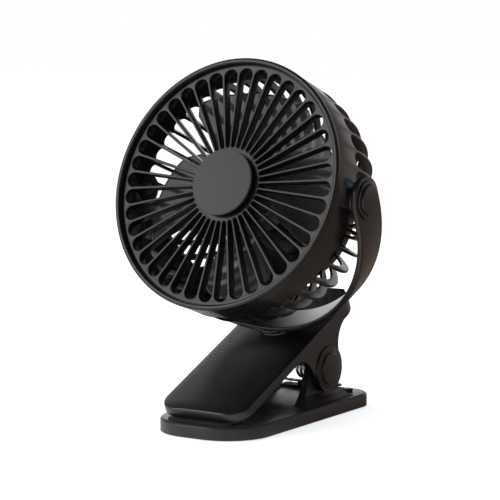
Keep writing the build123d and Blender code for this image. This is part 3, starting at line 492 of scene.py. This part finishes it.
# ------------------------------------------------------------------------------ pieces
class CLIPFAN_OT_stage(bpy.types.Operator):
    """Make the floor, the lights and the camera"""

    bl_idname = "clipfan.stage"
    bl_label = "Stage"

    def execute(self, context):
        stage = context.scene.clip_fan_stage
        context.scene.view_settings.view_transform = "Standard"
        self.camera(context, stage)
        self.floor(context)
        self.lamps(context, stage)
        self.world(context, stage)
        return {"FINISHED"}

    def camera(self, context, stage):
        """The camera, at the photograph's viewing angle."""
        turn, rise = math.radians(CAMERA_TURN), math.radians(CAMERA_RISE)
        right = Vector((math.cos(turn), math.sin(turn), 0))
        back = Vector((math.sin(turn) * math.cos(rise), -math.cos(turn) * math.cos(rise),
                       math.sin(rise)))
        up = back.cross(right)
        target = Vector(CAMERA_TARGET) + CAMERA_RIGHT * right + CAMERA_UP * up
        camera = bpy.data.cameras.new("camera")
        camera.lens = stage.lens
        camera.sensor_width = 36
        camera.clip_end = 50
        eye = bpy.data.objects.new("camera", camera)
        place = Matrix((right, up, back)).transposed().to_4x4()
        place.translation = (target + CAMERA_DISTANCE * back) * MM
        eye.matrix_world = place
        context.scene.collection.objects.link(eye)
        context.scene.camera = eye

    def floor(self, context):
        """A pale floor that is white where it is seen and brown, in part, to gloss: a painted reflection."""
        bm = bmesh.new()
        bmesh.ops.create_grid(bm, x_segments=2, y_segments=2, size=8)
        mesh = bpy.data.meshes.new("floor")
        bm.to_mesh(mesh)
        bm.free()
        floor = bpy.data.objects.new("floor", mesh)
        context.scene.collection.objects.link(floor)
        material, tree, shader = new_material("floor")
        link = tree.links.new
        shader.inputs["Roughness"].default_value = 0.8
        shader.inputs["Specular IOR Level"].default_value = 0.0
        shader.inputs["Emission Color"].default_value = (1, 1, 1, 1)
        place = node(tree, "TexCoord").outputs["Object"]
        paper = node(tree, "TexNoise", {"Scale": 30})
        link(place, paper.inputs["Vector"])
        tone = node(tree, "MapRange", {"To Min": FLOOR_TONES[0], "To Max": FLOOR_TONES[1]})
        link(paper.outputs["Fac"], tone.inputs["Value"])
        along = node(tree, "VectorMath", {1: BEHIND_RIGHT}, operation="DOT_PRODUCT")
        link(place, along.inputs[0])
        behind = node(tree, "MapRange", {"From Min": BEHIND_RANGE[0],
                                         "From Max": BEHIND_RANGE[1]},
                      interpolation_type="SMOOTHSTEP")
        link(along.outputs["Value"], behind.inputs["Value"])
        ray = node(tree, "LightPath").outputs
        # Painted warm reflection: to glossy rays alone, the floor behind on the right is brown.
        shade = math_node(tree, "MULTIPLY", behind.outputs["Result"], ray["Is Glossy Ray"])
        brown = node(tree, "Mix", data_type="RGBA")
        brown.inputs["B"].default_value = FLOOR_IN_GLOSS
        link(shade, brown.inputs["Factor"])
        link(tone.outputs["Result"], brown.inputs["A"])
        link(brown.outputs["Result"], shader.inputs["Base Color"])
        seen = math_node(tree, "MAXIMUM", ray["Is Camera Ray"], ray["Is Transmission Ray"])
        front = math_node(tree, "SUBTRACT", ray["Is Glossy Ray"], shade)
        lift = node(tree, "Math", {1: FLOOR_LIFT}, operation="MULTIPLY")
        link(math_node(tree, "ADD", seen, front), lift.inputs[0])
        link(lift.outputs[0], shader.inputs["Emission Strength"])
        mesh.materials.append(material)

    def lamps(self, context, stage):
        """The four soft lamps, which the camera doesn't see."""
        for name, place, size, strength, colour in LAMPS:
            lamp = bpy.data.lights.new(name, "AREA")
            lamp.shape = "DISK"
            lamp.size = size
            lamp.energy = getattr(stage, strength)
            lamp.color = colour
            light = bpy.data.objects.new(name, lamp)
            light.visible_camera = False
            light.location = place
            aim = Vector(LAMP_AIM) - Vector(place)
            light.rotation_euler = aim.to_track_quat("-Z", "Y").to_euler()
            context.scene.collection.objects.link(light)

    def world(self, context, stage):
        """White where it is seen; to gloss, a tinted horizon under a dim ceiling."""
        world = bpy.data.worlds.new("studio")
        world.use_nodes = True
        context.scene.world = world
        tree = world.node_tree
        link = tree.links.new
        background = tree.nodes["Background"].inputs
        ray = node(tree, "LightPath").outputs
        split = node(tree, "SeparateXYZ")
        link(node(tree, "TexCoord").outputs["Generated"], split.inputs["Vector"])
        ramp = node(tree, "MapRange", {"From Min": stage.horizon_low,
                                       "From Max": stage.horizon_high,
                                       "To Min": 1.0, "To Max": stage.ceiling},
                    interpolation_type="SMOOTHSTEP")
        link(split.outputs["Z"], ramp.inputs["Value"])
        polished = node(tree, "Mix", {"A": stage.sky})
        link(ray["Is Glossy Ray"], polished.inputs["Factor"])
        link(ramp.outputs["Result"], polished.inputs["B"])
        whole = node(tree, "Mix", {"B": 1.0})
        link(math_node(tree, "MAXIMUM", ray["Is Camera Ray"], ray["Is Transmission Ray"]),
             whole.inputs["Factor"])
        link(polished.outputs["Result"], whole.inputs["A"])
        link(whole.outputs["Result"], background["Strength"])
        # Painted warm reflection: to glossy rays alone, the horizon is tinted towards +X.
        side = node(tree, "MapRange", {"From Min": HORIZON_RANGE[0],
                                       "From Max": HORIZON_RANGE[1]},
                    interpolation_type="SMOOTHSTEP")
        link(split.outputs["X"], side.inputs["Value"])
        warm = math_node(tree, "MULTIPLY", side.outputs["Result"], ray["Is Glossy Ray"])
        tint = node(tree, "Mix", data_type="RGBA")
        tint.inputs["A"].default_value = (1, 1, 1, 1)
        tint.inputs["B"].default_value = HORIZON_IN_GLOSS
        link(warm, tint.inputs["Factor"])
        link(tint.outputs["Result"], background["Color"])


class CLIPFAN_OT_front_grille(bpy.types.Operator):
    """Make the front grille: slotted face, fine groove, rim and skirt"""

    bl_idname = "clipfan.front_grille"
    bl_label = "Front grille"

    slots: IntProperty(name="Slots", description="Number of slots", default=40, min=8)

    def execute(self, context):
        sizes = context.scene.clip_fan_sizes
        bm = self.face(sizes)
        join(bm, self.rim(sizes))
        join(bm, self.ring())
        bmesh.ops.remove_doubles(bm, verts=bm.verts, dist=0.004 * MM)
        place_on_head(bm)
        finish_mesh(bm, "grille_front", "head", ["front_grille"], MATERIALS["black_grille"])
        return {"FINISHED"}

    def face(self, sizes):
        """The flat face with its slots, whose edges are rounded."""
        bm = bmesh.new()
        self.slot(bm)
        copy_round(bm, bm.edges[:], self.slots)
        for radius in (RING_RADIUS, FACE_RADIUS):
            bmesh.ops.create_circle(bm, cap_ends=False, radius=radius * MM,
                                    segments=4 * self.slots)
        bmesh.ops.translate(bm, vec=(0, 0, FACE_FRONT * MM), verts=bm.verts)
        bmesh.ops.triangle_fill(bm, use_beauty=True, use_dissolve=False, edges=bm.edges[:],
                                normal=(0, 0, 1))
        bmesh.ops.dissolve_limit(bm, angle_limit=0.001, verts=[], edges=bm.edges)
        raised = bmesh.ops.extrude_face_region(bm, geom=bm.faces[:], use_keep_orig=True)
        bmesh.ops.translate(bm, vec=(0, 0, -FACE_THICKNESS * MM),
                            verts=verts_in(raised["geom"]))
        bmesh.ops.recalc_face_normals(bm, faces=bm.faces)
        low = (RING_RADIUS + EDGE_MARGIN) * MM
        high = (FACE_RADIUS - EDGE_MARGIN) * MM
        walls = [f for f in bm.faces if abs(f.normal.z) < 0.5
                 and all(not low <= from_axis(v) <= high for v in f.verts)]
        bmesh.ops.delete(bm, geom=walls, context="FACES_ONLY")
        rims = corners(bm, 60, lambda e: all(low < from_axis(v) < high for v in e.verts))
        round_edges(bm, rims, sizes.slot_edge, 2)
        return bm

    def rim(self, sizes):
        """The groove round the face, the rim with its rounded lip, and the skirt."""
        lip = sizes.lip_edge / MM
        groove = FACE_FRONT - sizes.seam_depth / MM
        return turned([
            (FACE_RADIUS, FACE_FRONT), (71.15, FACE_FRONT), (71.3, groove), (71.6, groove),
            (72.0, RIM_FRONT), (RIM_RADIUS, RIM_FRONT), (RIM_RADIUS, FACE_FRONT),
            (SKIRT_RADIUS, FACE_FRONT), (SKIRT_RADIUS, SKIRT_BACK), (FACE_RADIUS, SKIRT_BACK),
            (FACE_RADIUS, FACE_BACK)],
            {4: lip * 0.7, 5: lip, 6: 0.35, 1: 0.15, 8: 0.4}, 4 * self.slots)

    def ring(self):
        """The ring in the middle that holds the cap."""
        return turned([
            (RING_RADIUS, FACE_FRONT), (CAP_SOCKET, FACE_FRONT), (CAP_SOCKET, RING_BACK),
            (RING_RADIUS, RING_BACK), (RING_RADIUS, FACE_BACK)], {}, 4 * self.slots)

    def slot(self, bm):
        """Outline of one slot along X: a small arc inside, a large one outside, joined."""
        small, large = 1.256, 4.321
        near, far = 22.0 + small, 69.5 - large
        lean = math.asin((large - small) / (far - near))
        quarter = math.pi / 2 + lean
        arcs = []
        for centre, radius, start, sweep, steps in (
            (far, large, -quarter, math.pi + 2 * lean, 20),
            (near, small, quarter, math.pi - 2 * lean, 8),
        ):
            first = bm.verts.new(((centre + radius * math.cos(start)) * MM,
                                  radius * math.sin(start) * MM, 0))
            swept = bmesh.ops.spin(bm, geom=[first], axis=(0, 0, 1), cent=(centre * MM, 0, 0),
                                   dvec=(0, 0, 0), angle=sweep, steps=steps, use_merge=False,
                                   use_duplicate=False)
            arcs.append((first, verts_in(swept["geom_last"])[0]))
        bm.edges.new((arcs[0][1], arcs[1][0]))
        bm.edges.new((arcs[1][1], arcs[0][0]))


class CLIPFAN_OT_cap(bpy.types.Operator):
    """Make the plain cap: a thin disc that stands clear of the grille on a neck"""

    bl_idname = "clipfan.cap"
    bl_label = "Grille cap"

    radius: FloatProperty(name="Radius", description="Radius of the cap's face",
                          default=19.6 * MM, unit="LENGTH", subtype="DISTANCE")

    def execute(self, context):
        edge, front, rear, hollow = self.radius / MM, 26.7, 25.1, 24.0
        neck, bore = 16, 13.5
        bm = turned([
            (0, front), (edge, front), (edge, rear), (neck, rear), (neck, FACE_FRONT),
            (CAP_SOCKET, FACE_FRONT), (CAP_SOCKET, RING_BACK), (bore, RING_BACK),
            (bore, hollow), (0, hollow)], {1: 0.4, 2: 0.3}, 160)
        bmesh.ops.remove_doubles(bm, verts=bm.verts, dist=0.002 * MM)
        place_on_head(bm)
        finish_mesh(bm, "cap_disc", "head", ["grille_cap"], MATERIALS["grey_cap"])
        return {"FINISHED"}


class CLIPFAN_OT_rotor(bpy.types.Operator):
    """Make the clear rotor: a hub with broad twisted blades"""

    bl_idname = "clipfan.rotor"
    bl_label = "Rotor"

    blades: IntProperty(name="Blades", description="Number of blades", default=4, min=2)
    start: FloatProperty(name="Start",
                         description="Turn of the first blade at rest, in degrees",
                         default=2.0)

    def execute(self, context):
        bm = bmesh.new()
        self.petal(bm, context.scene.clip_fan_sizes.blade_thickness)
        copy_round(bm, bm.faces[:], self.blades)
        bmesh.ops.rotate(bm, matrix=Matrix.Rotation(math.radians(self.start), 3, "Z"),
                         verts=bm.verts)
        bore, boss, inside, outside = 1.0, 3.0, 21.1, 22.5
        front, ceiling, boss_end, rear = 2.5, 1.1, -0.5, -13
        join(bm, turned([
            (bore, front), (outside, front), (outside, rear), (inside, rear),
            (inside, ceiling), (boss, ceiling), (boss, boss_end), (bore, boss_end),
            (bore, front)], {1: 1.2, 2: 0.3, 3: 0.3, 4: 0.6}, 96))
        bmesh.ops.remove_doubles(bm, verts=bm.verts, dist=0.002 * MM)
        place_on_head(bm)
        finish_mesh(bm, "rotor_blades", "rotor", ["fan_blades"], MATERIALS["smoke_blade"])
        return {"FINISHED"}

    def petal(self, bm, thickness):
        """One blade along X: a grid laid on the twisted sheet, made solid, its rim rounded."""
        root, tip, corner = 21.4, 62.0, 8.0
        span, lead_turn = 64.0, 37.0
        rear_turn, rear_bulge, rear_sweep = 32.4, 21.4, 5.4
        steep, shallow = math.radians(35.0), math.radians(19.5)
        overhang, level = 4, -4.5
        bmesh.ops.create_grid(bm, x_segments=26, y_segments=22, size=1.0)
        for vert in bm.verts:
            u, v = (vert.co.x + 1) / 2, (vert.co.y + 1) / 2
            limit = tip
            for turn in (v * span, (1 - v) * span):
                edge = math.radians(turn) * tip
                if edge < corner:
                    cut = math.sqrt(corner ** 2 - (corner - edge) ** 2)
                    limit = min(limit, tip - corner + cut)
            radius = root + (limit - root) * u
            share = (radius - root) / (tip - root)
            rear = -(rear_turn + rear_bulge * share * (1 - share) - rear_sweep * share ** 2)
            turn = math.radians(rear + (lead_turn - rear) * v)
            x, y = radius * math.cos(turn), radius * math.sin(turn)
            reach = (x - root + overhang) / (tip - root + 2 * overhang)
            slope = (((1 - reach) * math.sin(steep) + reach * math.sin(shallow))
                     / ((1 - reach) * math.cos(steep) + reach * math.cos(shallow)))
            vert.co = Vector((x, y, level + y * slope)) * MM
        bmesh.ops.recalc_face_normals(bm, faces=bm.faces)
        bmesh.ops.solidify(bm, geom=bm.faces[:], thickness=thickness)
        bm.normal_update()
        bmesh.ops.translate(bm, vec=(0, 0, thickness / 2), verts=bm.verts)
        round_edges(bm, corners(bm, 50), 0.35 * thickness, 2)


class CLIPFAN_OT_shells(bpy.types.Operator):
    """Round the edges of the moulded shells"""

    bl_idname = "clipfan.shells"
    bl_label = "Moulded shells"

    def execute(self, context):
        sizes = context.scene.clip_fan_sizes
        self.arm(sizes)
        self.base()
        self.yoke()
        self.housing(sizes)
        for node_name, body, width in (
            ("yoke_cap_left", "yoke", 0.3), ("yoke_cap_right", "yoke", 0.3),
            ("hinge_cap_left", "clip_arm", 0.25), ("hinge_cap_right", "clip_arm", 0.25),
            ("rear_cap", "head", 0.2), ("power_button", "button", 0.2),
        ):
            bm = merged_copy(node_name)
            round_edges(bm, corners(bm, 30), width * MM, 2)
            finish_mesh(bm, node_name.replace("_", "-"), body, [node_name],
                        MATERIALS["black_trim"])
        return {"FINISHED"}

    def arm(self, sizes):
        """The arm: its roof cut in strips so that it can be crowned, its rim rounded."""
        middle, up, back = arm_axes()
        bm = merged_copy("arm_shell")
        top = max((v.co - middle).dot(up) for v in bm.verts)
        strip, step = 3.4 * MM, 10 * MM

        def on_top(point):
            return abs((point - middle).dot(up) - top) < 1e-5

        cuts = [(Vector((index * strip, 0, 0)), Vector((1, 0, 0))) for index in range(-8, 9)]
        cuts += [(middle + back * ((index + 0.5) * step), back) for index in range(-9, 5)]
        for place, across in cuts:
            roof = [f for f in bm.faces if all(on_top(v.co) for v in f.verts)]
            sides = list({e for f in roof for e in f.edges})
            ends = list({v for f in roof for v in f.verts})
            bmesh.ops.bisect_plane(bm, geom=roof + sides + ends, dist=1e-7, plane_co=place,
                                   plane_no=across)
        bm.normal_update()
        rim = corners(bm, 30, lambda e: sum(
            all(on_top(v.co) for v in f.verts) for f in e.link_faces) == 1)
        half = max(v.co.x for v in bm.verts)
        for vert in [v for v in bm.verts if on_top(v.co)]:
            vert.co -= up * sizes.arm_crown * (vert.co.x / half) ** 2
        round_edges(bm, rim, sizes.shell_edge, 4)
        finish_mesh(bm, "clip_arm_shell", "clip_arm", ["arm_shell"], MATERIALS["black_shell"])

    def base(self):
        """The base, with the rim of its top rounded."""
        bm = merged_copy("base_plate")
        low, high = 7.0 * MM, 8.5 * MM
        out_x, out_y = 31 * MM, 55 * MM
        rim = corners(bm, 30, lambda e: all(low < v.co.z < high for v in e.verts)
                      and all(abs(v.co.x) > out_x or abs(v.co.y) > out_y for v in e.verts))
        rim_edge = 0.4 * MM
        round_edges(bm, rim, rim_edge, 2)
        finish_mesh(bm, "base_shell", "base", ["base_plate"], MATERIALS["base_shell"])

    def yoke(self):
        """The yoke's bow, with its edges rounded."""
        bm = merged_copy("yoke_bracket")
        bow_edge = 0.9 * MM
        round_edges(bm, corners(bm, 55), bow_edge, 4)
        finish_mesh(bm, "yoke_bow", "yoke", ["yoke_bracket"], MATERIALS["black_shell"])

    def housing(self, sizes):
        """The head's band and rear cage, with the ribs' edges rounded."""
        bm = merged_copy("rear_housing")
        round_edges(bm, corners(bm, 50), sizes.rib_edge, 3)
        finish_mesh(bm, "housing_rear", "head", ["rear_housing"], MATERIALS["black_shell"])


class CLIPFAN_OT_spring(bpy.types.Operator):
    """Make the torsion spring from the CAD node's mesh"""

    bl_idname = "clipfan.spring"
    bl_label = "Spring"

    def execute(self, context):
        hinge = Vector(joint("clip_open")["pos_m"])
        bend_from = hinge + Vector((0, 0, 8 * MM))
        bend_to = hinge + Vector((0, 0, 20 * MM))
        finish_mesh(merged_copy("torsion_spring"), "spring_wire", "base", ["torsion_spring"],
                    MATERIALS["spring_steel"], smooth=60.0,
                    bend=("base", "clip_arm", tuple(bend_from), tuple(bend_to)))
        return {"FINISHED"}


class CLIPFAN_OT_grip(bpy.types.Operator):
    """Make the grip: rows of small pips on the tail that the hand presses"""

    bl_idname = "clipfan.grip"
    bl_label = "Grip pips"

    radius: FloatProperty(name="Radius", description="Radius of a pip at its foot",
                          default=0.95 * MM, unit="LENGTH", subtype="DISTANCE")

    def execute(self, context):
        crown = context.scene.clip_fan_sizes.arm_crown
        middle, up, back = arm_axes()
        vertices = frame["nodes"]["arm_shell"].data.vertices
        high = max((v.co - middle).dot(up) for v in vertices)
        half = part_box("arm_shell")[1][0]
        turn = Matrix((Vector((1, 0, 0)), back, up)).transposed().to_4x4()
        depth, lift = 0.5 * MM, 0.1 * MM
        bm = bmesh.new()
        for along, spots in PIP_ROWS:
            for spot in sorted({side * x for x in spots for side in (-1, 1)}):
                drop = crown * (spot * MM / half) ** 2
                place = (middle + Vector((spot * MM, 0, 0)) + back * (along * MM)
                         + up * (high - drop + lift))
                bmesh.ops.create_cone(bm, cap_ends=True, segments=20, radius1=self.radius,
                                      radius2=0.6 * self.radius, depth=depth,
                                      matrix=Matrix.Translation(place) @ turn)
        finish_mesh(bm, "grip_pips", "clip_arm", [], MATERIALS["pad_rubber"])
        return {"FINISHED"}


class CLIPFAN_OT_carried(bpy.types.Operator):
    """Give the CAD nodes that stay visible their materials"""

    bl_idname = "clipfan.carried"
    bl_label = "Carried parts"

    def execute(self, context):
        slots = {entry["node"]: entry.get("material_slot")
                 for entry in frame["record"]["subparts"]}
        for name, carried in frame["nodes"].items():
            slot = slots.get(name)
            if slot not in MATERIALS:
                raise RuntimeError(f"{name} has no material")
            carried.data.materials.clear()
            carried.data.materials.append(MATERIALS[name if name in MATERIALS else slot])
        return {"FINISHED"}


class CLIPFAN_PT_pieces(bpy.types.Panel):
    """The fan's pieces, in the order they are made"""

    bl_idname = "CLIPFAN_PT_pieces"
    bl_label = "Clip Fan"
    bl_space_type = "VIEW_3D"
    bl_region_type = "UI"
    bl_category = "Clip Fan"

    def draw(self, context):
        column = self.layout.column()
        for operator in PIECES:
            column.operator(operator.bl_idname)


MATERIALS = {}
PIECES = (CLIPFAN_OT_stage, CLIPFAN_OT_carried, CLIPFAN_OT_front_grille, CLIPFAN_OT_cap,
          CLIPFAN_OT_rotor, CLIPFAN_OT_shells, CLIPFAN_OT_spring, CLIPFAN_OT_grip)
SETTINGS = (ClipFanSizes, ClipFanFinish, ClipFanStage)


def register():
    """Add the settings, the operators and the panel."""
    for group in SETTINGS + PIECES + (CLIPFAN_PT_pieces,):
        bpy.utils.register_class(group)
    bpy.types.Scene.clip_fan_sizes = PointerProperty(type=ClipFanSizes)
    bpy.types.Scene.clip_fan_finish = PointerProperty(type=ClipFanFinish)
    bpy.types.Scene.clip_fan_stage = PointerProperty(type=ClipFanStage)


def unregister():
    """Take them away again."""
    del bpy.types.Scene.clip_fan_stage
    del bpy.types.Scene.clip_fan_finish
    del bpy.types.Scene.clip_fan_sizes
    for group in reversed(SETTINGS + PIECES + (CLIPFAN_PT_pieces,)):
        bpy.utils.unregister_class(group)


def main():
    """Build the whole fan."""
    register()
    MATERIALS.update(all_materials())
    bpy.ops.clipfan.stage()
    bpy.ops.clipfan.carried()
    bpy.ops.clipfan.front_grille()
    bpy.ops.clipfan.cap()
    bpy.ops.clipfan.rotor()
    bpy.ops.clipfan.shells()
    bpy.ops.clipfan.spring()
    bpy.ops.clipfan.grip()
    bpy.context.view_layer.update()


if __name__ == "__main__":
    main()
